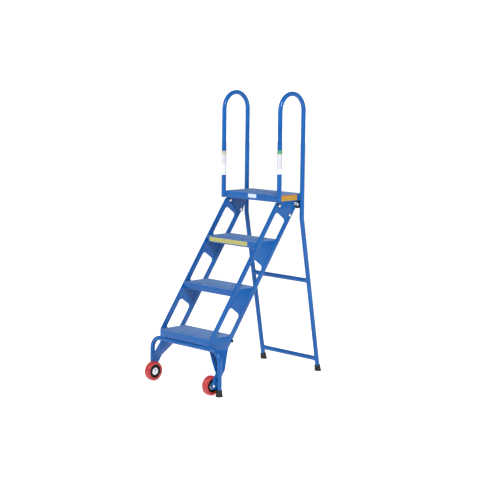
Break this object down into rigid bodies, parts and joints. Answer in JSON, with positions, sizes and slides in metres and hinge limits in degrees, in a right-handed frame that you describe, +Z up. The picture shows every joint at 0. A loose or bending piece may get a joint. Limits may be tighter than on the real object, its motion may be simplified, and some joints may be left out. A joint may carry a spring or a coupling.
{
  "type": "mobile ladder stand",
  "caption": "Folding blue steel ladder stand with platform, two handrail loops, rear legs, front base with wheels and rubber feet.",
  "frame": {"origin": "on the floor, at the middle of the stand's footprint box", "axes": "+Z up; +X across the stand, to the climber's right; +Y from the climber's side to the back"},
  "size_m": [0.553, 0.9086, 1.5492],
  "materials": {
    "blue_powder_coat": "semi-gloss powder coat",
    "tread_coat": "matt, gritty anti-slip coat",
    "zinc_plate": "bright zinc plate",
    "black_rubber": "matt",
    "black_plastic": "moulded, satin",
    "red_polyurethane": "satin cast polyurethane",
    "white_nylon": "satin",
    "label_white": "printed film",
    "label_yellow": "printed film",
    "label_orange": "printed film"
  },
  "bodies": {
    "rear_frame": {"handrail_leg_left": "blue_powder_coat", "handrail_leg_right": "blue_powder_coat", "crossbar_upper": "blue_powder_coat", "crossbar_lower": "blue_powder_coat", "platform_pan": "tread_coat", "hinge_ear_left": "blue_powder_coat", "hinge_ear_right": "blue_powder_coat", "pivot_bush_left": "white_nylon", "pivot_bush_right": "white_nylon", "rear_foot_left": "black_rubber", "rear_foot_right": "black_rubber", "rail_plug_left": "black_plastic", "rail_plug_right": "black_plastic", "latch_bracket": "black_plastic", "latch_pin": "zinc_plate", "label_platform_front": "label_white", "label_platform_side": "label_orange", "label_rail_left": "label_white", "label_rail_right": "label_white"},
    "latch": {"latch_lever": "zinc_plate"},
    "stair": {"side_plate_left": "blue_powder_coat", "side_plate_right": "blue_powder_coat", "step_upper": "tread_coat", "step_middle": "tread_coat", "step_lower": "tread_coat", "front_base_tube": "blue_powder_coat", "wheel_bracket_left": "blue_powder_coat", "wheel_bracket_right": "blue_powder_coat", "front_foot_left": "black_rubber", "front_foot_right": "black_rubber", "pivot_bolt_left": "zinc_plate", "pivot_bolt_right": "zinc_plate", "pivot_nut_left": "zinc_plate", "pivot_nut_right": "zinc_plate", "pivot_washer_left": "white_nylon", "pivot_washer_right": "white_nylon", "stop_bolt_left": "zinc_plate", "stop_bolt_right": "zinc_plate", "stop_nut_left": "zinc_plate", "stop_nut_right": "zinc_plate", "axle_bolt_left": "zinc_plate", "axle_bolt_right": "zinc_plate", "axle_nut_left": "zinc_plate", "axle_nut_right": "zinc_plate", "axle_spacer_left": "zinc_plate", "axle_spacer_right": "zinc_plate", "bumper_left": "black_rubber", "bumper_right": "black_rubber", "strike_pin": "zinc_plate", "label_step": "label_yellow"},
    "wheel_left": {"wheel_tyre_left": "red_polyurethane", "wheel_core_left": "black_plastic", "wheel_hub_left": "zinc_plate"},
    "wheel_right": {"wheel_tyre_right": "red_polyurethane", "wheel_core_right": "black_plastic", "wheel_hub_right": "zinc_plate"}
  },
  "joints": [
    {"name": "fold", "type": "hinge", "parent": "rear_frame", "child": "stair", "pos_m": [0, 0.20575, 0.889], "axis": [1, 0, 0], "range_deg": [0, 45]},
    {"name": "latch_lift", "type": "hinge", "parent": "rear_frame", "child": "latch", "pos_m": [0.19985, 0.25875, 0.941], "axis": [-1, 0, 0], "range_deg": [0, 30]},
    {"name": "wheel_left_spin", "type": "hinge", "parent": "stair", "child": "wheel_left", "pos_m": [-0.222, -0.40325, 0.0575], "axis": [1, 0, 0], "continuous": true},
    {"name": "wheel_right_spin", "type": "hinge", "parent": "stair", "child": "wheel_right", "pos_m": [0.222, -0.40325, 0.0575], "axis": [1, 0, 0], "continuous": true}
  ]
}
